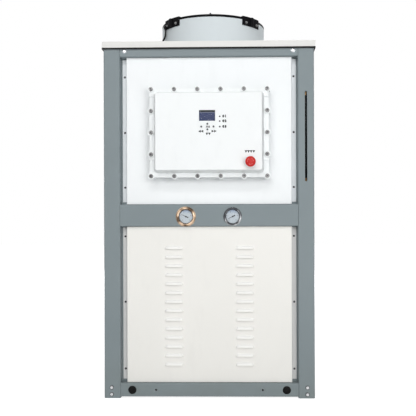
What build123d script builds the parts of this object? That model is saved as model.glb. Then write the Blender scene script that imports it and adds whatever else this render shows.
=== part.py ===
from build123d import *
from math import asin, atan, cos, degrees, pi, radians, sin, tan
import os

# A free-standing air-cooled recirculating chiller: a welded frame of four square
# posts and three tiers of folded rails, closed by screwed sheet panels, with a
# flameproof control box in the upper front panel, two pressure gauges in the
# middle rail, a level sight tube behind a slot in the front right post, and one
# axial fan in a round shroud on the roof.
# The frame: x to the right, y towards the back, z up. The origin lies on the
# floor under the middle of the cabinet. All lengths are millimetres.

# Cabinet frame
cabinet_width = 900
cabinet_depth = 800
frame_height = 1522
post_size = 70
post_wall = 3
post_corner = 6
foot_plate = 4
fin_reach = 28
fin_thickness = 3
strip_plane = 42

# Rails between the posts
rail_wall = 3
rail_bend = 5
rail_setback = 1.5
base_rail_bottom = 6
base_rail_height = 58
mid_rail_centre = 781
mid_rail_height = 95
top_rail_height = 63

# Sheet panels in the bays
panel_sheet = 1.5
panel_raise = 22
panel_gap = 5
panel_edge_gap = 1
strip_width = 20
strip_notch_low = 9
strip_notch_high = 3
panel_bend = 3
panel_return = 18

# Pressed louvres
louvre_length = 80
louvre_radius = 16
louvre_raise = 8
louvre_rows = 14
louvre_pitch = 38.5
louvre_spacing = 304
louvre_middle = 393

# Roof
roof_sheet = 2
roof_overhang = 5
roof_skirt = 30
trim_height = 6
trim_lap = 2.5
trim_cover = 1.5

# Fan shroud and guard
shroud_radius = 246
shroud_wall = 2.5
shroud_height = 151
shroud_flange = 6
roof_hole_lap = 6
guard_ring_width = 7
guard_ring_height = 12
guard_ring_rounding = 3
guard_wire = 4
guard_pitch = 22
guard_rings = 8
guard_hub_radius = 46
guard_spokes = 8
clip_width = 9
clip_length = 16
clip_thickness = 3
clip_rise = 5
clip_pin_radius = 2.5

# Fan motor, arms and impeller
arm_azimuth = 48
arm_width = 26
arm_thickness = 6
arm_drop = 24
arm_plate_radius = 74
bracket_angle = 25
bracket_thickness = 5
bracket_drop = 26
bracket_rise = 3
knuckle_radius = 10
knuckle_rounding = 5
motor_radius = 58
motor_height = 34
motor_chamfer = 3
hub_radius = 66
hub_rounding = 8
hub_height = 62
hub_gap = 2
shaft_radius = 10
shaft_length = 40
blade_count = 5
blade_tip_gap = 6
blade_sink = 6
blade_root_chord = 77
blade_tip_chord = 128
blade_root_pitch = 38
blade_tip_pitch = 21
blade_thickness = 3.5
blade_camber = 9

# Fan lead
lead_radius = 4
lead_bracket_azimuth = -57
lead_roof_azimuth = -67
lead_roof_radius = 271
lead_end_share = 0.3
gland_radius = 8
gland_height = 14
gland_chamfer = 2
lead_hole_radius = 5
lead_boss_sink = 2

# Condenser coils in the upper side bays
coil_depth = 66
casing_sheet = 2
casing_face = 26
core_rib_pitch = 52
core_rib_gap = 26
core_rib_height = 9

# Base tray, and the deck between the upper and lower storeys
deck_sheet = 2
deck_lap = 3

# Flameproof control box
box_across = 4.5
box_up = 1129
box_edge_width = 502
box_edge_height = 376
box_corner = 12
boss_radius = 13.5
boss_height = 4
boss_pitch_across = 97.8
boss_pitch_up = 91.4
boss_columns = 6
boss_rows = 5
body_flange = 18
lid_flange = 20
lid_rise = 45
lid_taper = 10
plateau_width = 463
plateau_height = 341
plateau_corner = 16
plateau_rounding = 3
box_wall = 10
box_body_width = 440
box_body_height = 310
box_body_depth = 154
box_stand_off = 22.5
box_hole_gap = 3
pocket_length = 36
pocket_width = 20
pocket_depth = 6
pocket_across = 190
pocket_up = 134
support_height = 40
support_depth = 25
support_wall = 3
support_lap = 12

# Display, keys, lamps and stop button on the lid
display_across = -5.5
display_up = 65
display_width = 67
display_height = 45
display_recess = 5
display_glass_thickness = 3
screen_lip = 6
screen_thickness = 8
key_across = -4
key_up = 18.5
key_pitch_across = 25.5
key_pitch_up = 11.5
key_stem_radius = 2.5
key_head_radius = 3.6
key_head_height = 4
key_rounding = 1
key_travel = 2
key_clear = 0.5
key_collar_height = 2
pin_clearance = 0.05
lamp_across = 47
lamp_ups = (61, 41, 18.5)
lamp_radius = 3.5
lamp_seat = 2
lamp_proud = 2
stop_across = 173.5
stop_up = -128
stop_head_radius = 21.5
stop_head_height = 14
stop_head_edge = 5
stop_stem_radius = 8
stop_spigot_radius = 5
stop_spigot_length = 9
stop_spigot_gap = 0.5
stop_stem_tail = 3
stop_travel = 5
stop_clear = 5
stop_collar_radius = 15
stop_collar_height = 12
stop_collar_rounding = 2

# Pressure gauges
gauge_across = (-98.5, 101.5)
gauge_up = 775.5
gauge_case_radius = 31.5
gauge_case_depth = 26
gauge_wall = 1.2
gauge_flange_left = 42.5
gauge_flange_right = 39
gauge_flange_thickness = 3
gauge_bezel_height = 8
gauge_bezel_fall = 2
gauge_bezel_inset = 2
gauge_dial_thickness = 1
gauge_dial_sink = 5
gauge_glass_thickness = 2.5
gauge_lip = 1.5
gauge_stub_radius = 7
gauge_stub_length = 18
pointer_length = 23
pointer_tail = 11
pointer_width = 2.4
pointer_tip = 0.4
pointer_thickness = 0.8
pointer_gap = 1
pointer_hub = 3.2
pointer_left_angle = 155
pointer_right_angle = 207

# Level sight tube behind the slot in the front right post
slot_width = 10
slot_length = 385
slot_middle = 1116.5
sight_depth = 20
sight_tube_radius = 5
sight_tube_wall = 1
sight_tube_length = 353
fitting_socket_radius = 8
fitting_socket_length = 16
fitting_chamfer = 1.5
fitting_pipe_radius = 5
fitting_turn_depth = 57
fitting_bend = 14
fitting_reach = 12
fitting_nut_radius = 8.5
fitting_nut_height = 10

# Holes and plugs in the base rails
plug_from_side = 120
plug_hole_radius = 15
plug_flange_radius = 17.5
plug_edge = 1
plug_dome = 2
plug_depth = 9
plug_wall = 2
fixing_hole_across = 228
fixing_hole_radius = 4.5

# Connections in the lower back panel
port_across = 140
port_up = 300
port_radius = 21
port_bore_radius = 16
port_tail = 24
port_hex_flats = 54
port_hex_height = 14
port_nut_height = 10
cable_gland_inset = 105
cable_gland_up = 610
cable_gland_radius = 12
cable_gland_bore = 8
cable_gland_hex_flats = 32
cable_gland_hex_height = 9
cable_gland_reach = 34
cable_gland_rounding = 3

# Places that follow from the sizes above
half_width = cabinet_width / 2
half_depth = cabinet_depth / 2
base_rail_top = base_rail_bottom + base_rail_height
plug_across = half_width - plug_from_side
mid_rail_bottom = mid_rail_centre - mid_rail_height / 2
mid_rail_top = mid_rail_centre + mid_rail_height / 2
top_rail_bottom = frame_height - top_rail_height
rail_depth = strip_plane - rail_setback
panel_front = strip_plane - panel_sheet - panel_raise
fin_back = strip_plane + fin_thickness
roof_top = frame_height + roof_sheet
shroud_top = roof_top + shroud_height
shroud_inner = shroud_radius - shroud_wall
guard_top = shroud_top + guard_ring_height
arm_top = shroud_top - arm_drop
box_joint = panel_front - box_stand_off - body_flange
plateau_top = lid_flange + lid_rise
stop_head_low = stop_collar_height + stop_travel + stop_clear
key_gap = key_travel + key_clear
front_reach = plateau_top + stop_head_low + stop_head_height - box_joint
deck_top = mid_rail_top + deck_sheet
cable_gland_across = half_width - post_size - panel_gap - strip_width - cable_gland_inset
side_turn = {"front": 0, "right": 90, "back": 180, "left": 270}


def along(side):
    """The cabinet's outer length along one side."""
    return cabinet_width if side in ("front", "back") else cabinet_depth


def bay(side):
    """The clear width between the posts of one side."""
    return along(side) - 2 * post_size


def on_side(shape, side):
    """Puts a piece drawn as x along a side, y inward from its outer face, on that side."""
    reach = half_depth if side in ("front", "back") else half_width
    return Rot(0, 0, side_turn[side]) * Pos(0, -reach, 0) * shape


def facing(shape, across, up, inward, side="front"):
    """Stands a piece drawn as x right, y up, z outward on a side of the cabinet."""
    return on_side(Pos(across, inward, up) * Rot(90, 0, 0) * shape, side)


def round_about_z(profile):
    """Turns a profile drawn as x outward, y up about the z axis."""
    return revolve(Plane.XZ * profile, Axis.Z)


def band(inner, outer, low, high):
    """A rectangle from inner to outer and from low to high, for a turned profile."""
    return Pos((inner + outer) / 2, (low + high) / 2) * Rectangle(outer - inner, high - low)


def dome(radius, low, rise):
    """The half profile of a spherical cap on the z axis, for a turned piece."""
    sphere = (radius**2 + rise**2) / (2 * rise)
    middle = asin(radius / sphere) / 2
    top = low + rise
    shoulder = (sphere * sin(middle), top - sphere * (1 - cos(middle)))
    arc = ThreePointArc((radius, low), shoulder, (0, top))
    return make_face(Line((0, low), (radius, low)) + arc + Line((0, top), (0, low)))


def block(x_low, x_high, y_low, y_high, z_low, z_high):
    """A box between two corners."""
    middle = Pos((x_low + x_high) / 2, (y_low + y_high) / 2, (z_low + z_high) / 2)
    return middle * Box(x_high - x_low, y_high - y_low, z_high - z_low)


def hexagon(across_flats, low, high):
    """A hexagonal prism from low to high along z."""
    return Pos(0, 0, low) * extrude(RegularPolygon(across_flats / 2, 6, major_radius=False), high - low)


# Frame

def post_blank():
    """The front left post with its outer corner at x 0, y 0: a square tube with a welded foot
    and a mounting fin along each of its two bays."""
    middle = Pos(post_size / 2, post_size / 2)
    outline = middle * RectangleRounded(post_size, post_size, post_corner)
    bore_size = post_size - 2 * post_wall
    bore = middle * RectangleRounded(bore_size, bore_size, post_corner - post_wall)
    tube = extrude(outline - bore, frame_height) + extrude(outline, foot_plate)
    fin_end = post_size + fin_reach
    front_fin = block(post_size, fin_end, strip_plane, fin_back, base_rail_bottom, frame_height)
    side_fin = block(strip_plane, fin_back, post_size, fin_end, base_rail_bottom, frame_height)
    return tube + front_fin + side_fin


def post_front_left():
    return Pos(-half_width, -half_depth, 0) * post_blank()


def post_front_right():
    """This post has the sight slot, and a hole for each pipe of the level fittings."""
    post = mirror(post_front_left(), Plane.YZ)
    slot = Rot(0, 0, 90) * SlotOverall(slot_length, slot_width)
    cutter = extrude(slot, post_wall, both=True)
    post -= facing(cutter, half_width - post_size / 2, slot_middle, post_wall / 2)
    for end in (-1, 1):
        post -= fitting_place(Rot(0, -90, 0) * fitting_leg(), end)
    return post


def post_back_left():
    return mirror(post_front_left(), Plane.XZ)


def post_back_right():
    return mirror(post_back_left(), Plane.YZ)


def channel(side, height, middle_up):
    """A folded rail between two posts, web outward, lips reaching the mounting fins."""
    blank = Rectangle(rail_depth, height, align=(Align.MIN, Align.CENTER))
    blank = fillet(blank.vertices().group_by(Axis.X)[0], rail_bend)
    hollow = Rectangle(rail_depth, height - 2 * rail_wall, align=(Align.MIN, Align.CENTER))
    hollow = fillet(hollow.vertices().group_by(Axis.X)[0], rail_bend - rail_wall)
    section = Pos(rail_setback, middle_up) * (blank - Pos(rail_wall, 0) * hollow)
    return extrude(Plane.YZ * section, bay(side) / 2, both=True)


def base_rails():
    """Four rails; the front and back ones have plug holes and two fixing holes."""
    rails = []
    middle = base_rail_bottom + base_rail_height / 2
    for side in ("front", "back", "left", "right"):
        rail = channel(side, base_rail_height, middle)
        if side in ("front", "back"):
            for across in (-1, 1):
                plug_hole = Cylinder(plug_hole_radius, 4 * rail_wall, rotation=(90, 0, 0))
                fixing_hole = Cylinder(fixing_hole_radius, 4 * rail_wall, rotation=(90, 0, 0))
                rail -= Pos(across * plug_across, rail_setback, middle) * plug_hole
                rail -= Pos(across * fixing_hole_across, rail_setback, middle) * fixing_hole
        rails.append(on_side(rail, side))
    return Compound(rails)


def base_plugs():
    """A domed plastic plug in each large hole of the front and back base rails."""
    shank = band(plug_hole_radius - plug_wall, plug_hole_radius, -plug_depth, 0)
    head = band(0, plug_flange_radius, 0, plug_edge) + dome(plug_flange_radius, plug_edge, plug_dome)
    plug = round_about_z(shank) + round_about_z(head)
    middle = base_rail_bottom + base_rail_height / 2
    plugs = [
        facing(plug, across * plug_across, middle, rail_setback, side)
        for side in ("front", "back")
        for across in (-1, 1)
    ]
    return Compound(plugs)


def mid_rail_front():
    """The rail that carries the two gauges in round cut-outs."""
    rail = channel("front", mid_rail_height, mid_rail_centre)
    for across in gauge_across:
        hole = Cylinder(gauge_case_radius, 4 * rail_wall, rotation=(90, 0, 0))
        rail -= Pos(across, rail_setback, gauge_up) * hole
    return on_side(rail, "front")


def mid_rail_back():
    return on_side(channel("back", mid_rail_height, mid_rail_centre), "back")


def mid_rails_side():
    rails = [on_side(channel(side, mid_rail_height, mid_rail_centre), side) for side in ("left", "right")]
    return Compound(rails)


def top_rails():
    middle = frame_height - top_rail_height / 2
    sides = ("front", "back", "left", "right")
    return Compound([on_side(channel(side, top_rail_height, middle), side) for side in sides])


def tray(level):
    """A sheet lying on the lips of four rails, notched round the posts and their fins."""
    reach = strip_plane - deck_lap
    sheet = Box(cabinet_width - 2 * reach, cabinet_depth - 2 * reach, deck_sheet)
    notch = 2 * (post_size + fin_reach + deck_lap)
    for x in (-half_width, half_width):
        for y in (-half_depth, half_depth):
            sheet -= Pos(x, y, 0) * Box(notch, notch, 2 * deck_sheet)
    return Pos(0, 0, level + deck_sheet / 2) * sheet


def base_tray():
    return tray(base_rail_bottom + rail_wall)


def deck():
    return tray(mid_rail_top)


# Panels

def hat_panel(side, opening_bottom, opening_top):
    """A panel folded forward from its two screw strips, with returns along top and bottom."""
    edge = bay(side) / 2 - panel_gap
    face = edge - strip_width
    back = panel_front + panel_sheet
    strip_front = strip_plane - panel_sheet
    inner = face - panel_sheet
    outline = make_face(Polyline(
        (-edge, strip_front), (-face, strip_front), (-face, panel_front), (face, panel_front),
        (face, strip_front), (edge, strip_front), (edge, strip_plane), (inner, strip_plane),
        (inner, back), (-inner, back), (-inner, strip_plane), (-edge, strip_plane), close=True))
    by_depth = outline.vertices().group_by(Axis.Y)
    outline = fillet(by_depth[0], panel_bend)
    outline = fillet(outline.vertices().filter_by(lambda v: abs(v.Y - back) < 1e-6), panel_bend - panel_sheet)
    low = opening_bottom + panel_edge_gap
    high = opening_top - panel_edge_gap
    panel = Pos(0, 0, low) * extrude(outline, high - low)
    for z, notch in ((low, strip_notch_low), (high, strip_notch_high)):
        clear = Box(2 * strip_width, 4 * panel_sheet, 2 * notch)
        panel -= [Pos(end * (face + strip_width), strip_plane, z) * clear for end in (-1, 1)]
    for z in (low + panel_sheet / 2, high - panel_sheet / 2):
        lip = Box(2 * inner, panel_return, panel_sheet)
        panel += Pos(0, back + panel_return / 2, z) * lip
    return panel


def louvre():
    """One pressed hood, lip at z 0 and open below: a quarter turn of a half-stadium band."""
    straight = louvre_length - 2 * (louvre_radius**2 - (louvre_radius - louvre_raise) ** 2) ** 0.5
    outer = SlotCenterToCenter(straight, 2 * louvre_radius)
    inner = SlotCenterToCenter(straight, 2 * (louvre_radius - panel_sheet))
    half = Pos(0, -louvre_radius) * Rectangle(2 * louvre_length, 2 * louvre_radius)
    hood = revolve((outer - inner) & half, Axis.X, -90)
    opening = revolve(inner & half, Axis.X, -90)
    axis_depth = panel_front - louvre_raise + louvre_radius
    front_only = Pos(0, -louvre_radius, 0) * Box(2 * louvre_length, 2 * louvre_radius, 4 * louvre_radius)
    keep = Pos(0, panel_front + panel_sheet, 0) * front_only
    place = Pos(0, axis_depth, 0)
    return (place * hood) & keep, place * opening


def louvred_panel(side):
    """The lower panel of a side, with two columns of louvres."""
    panel = hat_panel(side, base_rail_top, mid_rail_bottom)
    hood, opening = louvre()
    lowest = louvre_middle - (louvre_rows - 1) * louvre_pitch / 2 - louvre_radius / 2
    places = [
        Pos(column * louvre_spacing / 2, 0, lowest + row * louvre_pitch)
        for column in (-1, 1)
        for row in range(louvre_rows)
    ]
    panel -= [place * opening for place in places]
    panel += [place * hood for place in places]
    return panel


def front_upper_panel():
    """The panel behind the control box, cut out for the body of the box."""
    panel = hat_panel("front", mid_rail_top, top_rail_bottom)
    hole = Box(box_body_width + 2 * box_hole_gap, 4 * panel_sheet, box_body_height + 2 * box_hole_gap)
    return on_side(panel - Pos(box_across, panel_front, box_up) * hole, "front")


def front_lower_panel():
    return on_side(louvred_panel("front"), "front")


def back_upper_panel():
    return on_side(hat_panel("back", mid_rail_top, top_rail_bottom), "back")


def back_lower_panel():
    """The lower back panel, with holes for the two water ports and the cable gland."""
    panel = louvred_panel("back")
    for across in (-1, 1):
        hole = Cylinder(port_radius, 4 * panel_sheet, rotation=(90, 0, 0))
        panel -= Pos(across * port_across / 2, panel_front, port_up) * hole
    gland_hole = Cylinder(cable_gland_radius, 4 * panel_sheet, rotation=(90, 0, 0))
    panel -= Pos(cable_gland_across, panel_front, cable_gland_up) * gland_hole
    return on_side(panel, "back")


def left_lower_panel():
    return on_side(louvred_panel("left"), "left")


def right_lower_panel():
    return on_side(louvred_panel("right"), "right")


# Condenser coils

def condenser_casings():
    """A sheet casing round each coil, standing on the deck behind the mounting fins."""
    return Compound([on_side(coil_casing(side), side) for side in ("left", "right")])


def coil_casing(side):
    wide = bay(side)
    tall = top_rail_bottom - deck_top
    outer = Pos(0, fin_back + coil_depth / 2, deck_top + tall / 2) * Box(wide, coil_depth, tall)
    inner_size = (wide - 2 * casing_face, coil_depth - 2 * casing_sheet, tall - 2 * casing_face)
    channel_room = Box(wide - 2 * casing_sheet, inner_size[1], tall - 2 * casing_sheet)
    window = Box(inner_size[0], 2 * coil_depth, inner_size[2])
    middle = Pos(0, fin_back + coil_depth / 2, deck_top + tall / 2)
    return outer - middle * window - middle * channel_room


def condenser_cores():
    """The fin blocks, with upright grooves in both faces for the gaps between groups of fins."""
    cores = []
    for side in ("left", "right"):
        wide = bay(side) - 2 * casing_sheet
        tall = top_rail_bottom - deck_top - 2 * casing_sheet
        deep = coil_depth - 2 * casing_sheet
        core = Box(wide, deep, tall)
        groove = Box(core_rib_gap, 2 * core_rib_height, 2 * tall)
        count = int(wide // core_rib_pitch)
        for number in range(count):
            across = (number - (count - 1) / 2) * core_rib_pitch
            core -= [Pos(across, face * deep / 2, 0) * groove for face in (-1, 1)]
        middle = Pos(0, fin_back + coil_depth / 2, deck_top + casing_sheet + tall / 2)
        cores.append(on_side(middle * core, side))
    return Compound(cores)


# Roof and fan

def roof_panel():
    """A shallow pan over the frame with the fan opening."""
    wide = cabinet_width + 2 * roof_overhang
    deep = cabinet_depth + 2 * roof_overhang
    pan = Pos(0, 0, roof_top - roof_skirt / 2) * Box(wide, deep, roof_skirt)
    pan = fillet(pan.edges().filter_by(Axis.Z), roof_sheet)
    hollow = Box(wide - 2 * roof_sheet, deep - 2 * roof_sheet, roof_skirt)
    pan -= Pos(0, 0, roof_top - roof_sheet - roof_skirt / 2) * hollow
    hole = Cylinder(shroud_inner - roof_hole_lap, 4 * roof_sheet)
    lead_hole = Cylinder(lead_hole_radius, 4 * roof_sheet)
    return pan - Pos(0, 0, roof_top) * hole - Pos(lead_roof_point(roof_top)) * lead_hole


def roof_edge_trim():
    """A black edging that grips the lower edge of the roof skirt all the way round."""
    skirt_bottom = roof_top - roof_skirt
    wide = cabinet_width + 2 * roof_overhang
    deep = cabinet_depth + 2 * roof_overhang
    inner = roof_sheet + trim_cover
    band_low = skirt_bottom - trim_lap
    ring = extrude(
        RectangleRounded(wide + 2 * trim_cover, deep + 2 * trim_cover, trim_cover + roof_sheet)
        - Rectangle(wide - 2 * inner, deep - 2 * inner), trim_height)
    groove = extrude(
        RectangleRounded(wide, deep, roof_sheet)
        - Rectangle(wide - 2 * roof_sheet, deep - 2 * roof_sheet), trim_height)
    return Pos(0, 0, band_low) * ring - Pos(0, 0, skirt_bottom) * groove


def fan_shroud():
    """The round shroud with its foot flange on the roof and a beaded rim."""
    wall = band(shroud_inner, shroud_radius, roof_top, shroud_top)
    foot = band(shroud_inner, shroud_radius + shroud_flange, roof_top, roof_top + shroud_wall)
    return round_about_z(wall) + round_about_z(foot)


def fan_guard():
    """Concentric wires on radial spokes inside a heavy outer ring, with four clips on the rim."""
    ring_inner = shroud_radius - guard_ring_width
    ring = fillet(band(ring_inner, shroud_radius, shroud_top, guard_top).vertices(), guard_ring_rounding)
    guard = round_about_z(ring)
    half_wire = guard_wire / 2
    wire_low = shroud_top + guard_ring_height / 2 - half_wire
    wire_high = wire_low + guard_wire
    for count in range(guard_rings):
        radius = ring_inner - (count + 1) * guard_pitch
        guard += round_about_z(band(radius - half_wire, radius + half_wire, wire_low, wire_high))
    guard += round_about_z(band(0, guard_hub_radius, wire_low, wire_high))
    spoke = block(guard_hub_radius / 2, ring_inner + half_wire, -half_wire, half_wire, wire_low, wire_high)
    for count in range(guard_spokes):
        guard += Rot(0, 0, (count + 0.5) * 360 / guard_spokes) * spoke
    for count in range(4):
        guard += Rot(0, 0, count * 90) * rim_clip()
    return guard


def rim_clip():
    """A clip over the outer ring of the guard, with its screw end standing up."""
    middle = shroud_radius - guard_ring_width / 2
    body = block(middle - clip_length / 2, middle + guard_ring_width / 2, -clip_width / 2, clip_width / 2,
                 guard_top - clip_thickness / 2, guard_top + clip_thickness / 2)
    pin = Pos(middle, 0, guard_top + clip_rise / 2) * Cylinder(clip_pin_radius, clip_rise)
    return body + pin


def arm_angles():
    """The azimuths of the four motor arms, from the x axis."""
    return [-90 - arm_azimuth, -90 + arm_azimuth, 90 - arm_azimuth, 90 + arm_azimuth]


def motor_arms():
    """Four flat arms from a round motor plate to end pads on the inside of the shroud."""
    arms = Pos(0, 0, arm_top - arm_thickness / 2) * Cylinder(arm_plate_radius, arm_thickness)
    pad_face = shroud_inner - bracket_thickness
    tube = round_about_z(band(pad_face, shroud_inner, arm_top - bracket_drop, arm_top))
    for angle in arm_angles():
        bar = block(arm_plate_radius / 2, pad_face + bracket_thickness / 2, -arm_width / 2, arm_width / 2,
                    arm_top - arm_thickness, arm_top)
        pad = tube & block(0, 2 * shroud_radius, -arm_width, arm_width, 0, 2 * frame_height)
        arms += Rot(0, 0, angle) * (bar + pad)
    return arms


def arc_bar(inner, outer, low, high, angle):
    """A band bent round the fan's axis through an angle, with its middle on the x axis."""
    return Rot(0, 0, -angle / 2) * revolve(Plane.XZ * band(inner, outer, low, high), Axis.Z, angle)


def rim_brackets():
    """Curved clamp plates outside the shroud, one over each arm, with a rounded knuckle on the
    middle of each. The front left one has a boss for the fan lead."""
    low = shroud_top - bracket_drop
    high = guard_top + bracket_rise
    outer = shroud_radius + bracket_thickness
    bracket = arc_bar(shroud_radius, outer, low, high, bracket_angle)
    bracket += arc_bar(shroud_radius - guard_ring_width, outer, guard_top, high, bracket_angle)
    knuckle = Pos(outer, 0, (low + high) / 2) * Cylinder(knuckle_radius, high - low)
    knuckle = fillet(knuckle.edges().group_by(Axis.Z)[-1], knuckle_rounding)
    bracket += knuckle - Cylinder(outer - bracket_thickness / 2, 2 * high)
    front_left, *others = [Rot(0, 0, angle) * bracket for angle in arm_angles()]
    boss = Pos(lead_points()[0] + Vector(0, 0, gland_height / 2)) * Cylinder(gland_radius, gland_height)
    return Compound([front_left + boss, *others])


def motor_shaft():
    """The shaft below the housing, with z 0 on the housing's lower face."""
    return Pos(0, 0, -shaft_length / 2) * Cylinder(shaft_radius, shaft_length)


def fan_motor():
    """The stator housing hanging from the motor plate."""
    top = arm_top - arm_thickness
    housing = Pos(0, 0, top - motor_height / 2) * Cylinder(motor_radius, motor_height)
    housing = chamfer(housing.edges().group_by(Axis.Z)[0], motor_chamfer)
    return housing + Pos(0, 0, top - motor_height) * motor_shaft()


def blade_section(radius, chord, pitch):
    """A thin cambered plate section, standing at a radius along x."""
    half = chord / 2
    skin = blade_thickness / 2
    top = ThreePointArc((-half, skin), (0, blade_camber + skin), (half, skin))
    under = ThreePointArc((half, -skin), (0, blade_camber - skin), (-half, -skin))
    face = make_face(top + Line((half, skin), (half, -skin)) + under + Line((-half, -skin), (-half, skin)))
    return Plane(origin=(radius, 0, 0), x_dir=(0, 1, 0), z_dir=(1, 0, 0)) * Rot(0, 0, pitch) * face


def fan_impeller():
    """The rotor drum with its twisted blades."""
    motor_low = arm_top - arm_thickness - motor_height
    middle = motor_low - hub_gap - hub_height / 2
    drum = Pos(0, 0, middle) * Cylinder(hub_radius, hub_height)
    drum = fillet(drum.edges().group_by(Axis.Z)[0], hub_rounding)
    drum -= Pos(0, 0, motor_low) * motor_shaft()
    tip = shroud_inner - blade_tip_gap
    root = hub_radius - blade_sink
    halfway = (root + tip) / 2
    mean_chord = (blade_root_chord + blade_tip_chord) / 2
    mean_pitch = (blade_root_pitch + blade_tip_pitch) / 2
    blade = loft([
        blade_section(root, blade_root_chord, blade_root_pitch),
        blade_section(halfway, mean_chord, mean_pitch),
        blade_section(tip, blade_tip_chord, blade_tip_pitch),
    ])
    tip_limit = Cylinder(tip, 4 * hub_height)
    blade = blade & tip_limit
    for count in range(blade_count):
        drum += Pos(0, 0, middle) * Rot(0, 0, count * 360 / blade_count) * blade
    return drum


def lead_roof_point(height):
    """The place at a height over the roof gland of the fan lead."""
    angle = radians(lead_roof_azimuth - 90)
    return Vector(lead_roof_radius * cos(angle), lead_roof_radius * sin(angle), height)


def lead_points():
    """The route of the fan lead: down from its boss, outward, and down into the roof gland."""
    start_radius = shroud_radius + bracket_thickness + gland_radius - lead_boss_sink
    angle = radians(lead_bracket_azimuth - 90)
    start_high = shroud_top - bracket_drop
    start = Vector(start_radius * cos(angle), start_radius * sin(angle), start_high)
    end = lead_roof_point(roof_top + gland_height)
    straight = Vector(0, 0, lead_end_share * (start.Z - end.Z))
    return [start, start - straight, end + straight, end]


def fan_lead():
    """The motor lead outside the shroud."""
    points = lead_points()
    corner_radii = []
    for before, here, after in zip(points, points[1:], points[2:]):
        turn = (here - before).get_angle(after - here)
        shorter = min((here - before).length, (after - here).length)
        corner_radii.append(0.45 * shorter / tan(radians(turn / 2)))
    path = FilletPolyline(*points, radius=corner_radii)
    section = Plane(origin=points[0], z_dir=points[1] - points[0]) * Circle(lead_radius)
    lead = sweep(section, path=path)
    share = lead.volume / (path.length * pi * lead_radius**2)
    print("fan lead radii", [round(r) for r in corner_radii], "length", round(path.length, 1))
    print("fan lead volume over section times length", round(share, 4))
    return lead


def lead_gland():
    """The gland on the roof that takes the lower end of the fan lead."""
    gland = Cylinder(gland_radius, gland_height)
    gland = chamfer(gland.edges().group_by(Axis.Z)[-1], gland_chamfer)
    return Pos(lead_roof_point(roof_top + gland_height / 2)) * gland


# Control box

def box_outline():
    """The flange outline of the control box: a plain edge with a round boss at every bolt."""
    outline = RectangleRounded(box_edge_width, box_edge_height, box_corner)
    for x, y in bolt_places():
        outline += Pos(x, y) * Circle(boss_radius)
    return outline


def bolt_places():
    """Bolt centres round the flange, from the middle of the box."""
    wide = boss_pitch_across * (boss_columns - 1) / 2
    tall = boss_pitch_up * (boss_rows - 1) / 2
    places = []
    for column in range(boss_columns):
        for row in range(boss_rows):
            if column in (0, boss_columns - 1) or row in (0, boss_rows - 1):
                places.append((column * boss_pitch_across - wide, row * boss_pitch_up - tall))
    return places


def control_box_body():
    """The cast body: a flange in front of the panel and a deep box behind it."""
    flange = Pos(0, 0, -body_flange) * extrude(box_outline(), body_flange)
    shell = RectangleRounded(box_body_width, box_body_height, 2 * box_wall)
    back = Pos(0, 0, -body_flange - box_body_depth) * extrude(shell, box_body_depth)
    room = RectangleRounded(box_body_width - 2 * box_wall, box_body_height - 2 * box_wall, box_wall)
    depth = body_flange + box_body_depth - box_wall
    body = flange + back - Pos(0, 0, -depth) * extrude(room, depth)
    return facing(body, box_across, box_up, box_joint)


def control_box_lid():
    """The cast lid: bossed flange, pry pockets and a tapered plateau, hollow behind."""
    angle = degrees(atan(lid_taper / lid_rise))
    lid = extrude(box_outline(), lid_flange)
    plateau = RectangleRounded(plateau_width, plateau_height, plateau_corner)
    raised = Pos(0, 0, lid_flange) * extrude(plateau, lid_rise, taper=angle)
    lid += fillet(raised.edges().group_by(Axis.Z)[-1], plateau_rounding)
    for x, y in bolt_places():
        lid += Pos(x, y, lid_flange + boss_height / 2) * Cylinder(boss_radius, boss_height)
    room_width = plateau_width - 2 * (box_wall + lid_taper)
    room_height = plateau_height - 2 * (box_wall + lid_taper)
    lid -= extrude(RectangleRounded(room_width, room_height, plateau_corner / 2), plateau_top - box_wall)
    for pocket in pry_pockets():
        lid -= pocket
    window = Box(display_width, display_height, 4 * box_wall)
    lid -= Pos(display_across, display_up, plateau_top) * window
    for x, y in key_places().values():
        lid -= Pos(x, y, plateau_top) * Cylinder(key_stem_radius + pin_clearance, 4 * box_wall)
    for up in lamp_ups:
        lid -= Pos(lamp_across, up, plateau_top) * Cylinder(lamp_radius, 2 * lamp_seat)
    lid -= Pos(stop_across, stop_up, plateau_top) * Cylinder(stop_stem_radius + pin_clearance, 4 * box_wall)
    return facing(lid, box_across, box_up, box_joint)


def pry_pockets():
    """Shallow pockets in the lid flange, open at its edge."""
    level = Box(pocket_length, pocket_width, 2 * pocket_depth)
    upright = Box(pocket_width, pocket_length, 2 * pocket_depth)
    pockets = []
    for end in (-1, 1):
        for x in (-pocket_across, 0, pocket_across):
            pockets.append(Pos(x, end * (box_edge_height - pocket_width) / 2, lid_flange) * level)
        for y in (-pocket_up, pocket_up):
            pockets.append(Pos(end * (box_edge_width - pocket_width) / 2, y, lid_flange) * upright)
    return pockets


def control_box_supports():
    """Two tubes behind the front posts' fins, above and below the body of the box."""
    section = Rectangle(support_depth, support_height) - Rectangle(
        support_depth - 2 * support_wall, support_height - 2 * support_wall)
    reach = bay("front") / 2 - fin_reach + support_lap
    bars = []
    for end in (-1, 1):
        up = box_up + end * (box_body_height + support_height) / 2
        bar = extrude(Plane.YZ * Pos(fin_back + support_depth / 2, up) * section, reach, both=True)
        bars.append(on_side(Pos(box_across, 0, 0) * bar, "front"))
    return Compound(bars)


def on_lid(shape, across, up):
    """Puts a piece drawn with z 0 on the plateau's outer face at a place on the lid."""
    return facing(Pos(across, up, plateau_top) * shape, box_across, box_up, box_joint)


def display_glass():
    glass = Pos(0, 0, -display_recess - display_glass_thickness / 2) * Box(
        display_width, display_height, display_glass_thickness)
    return on_lid(glass, display_across, display_up)


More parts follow.
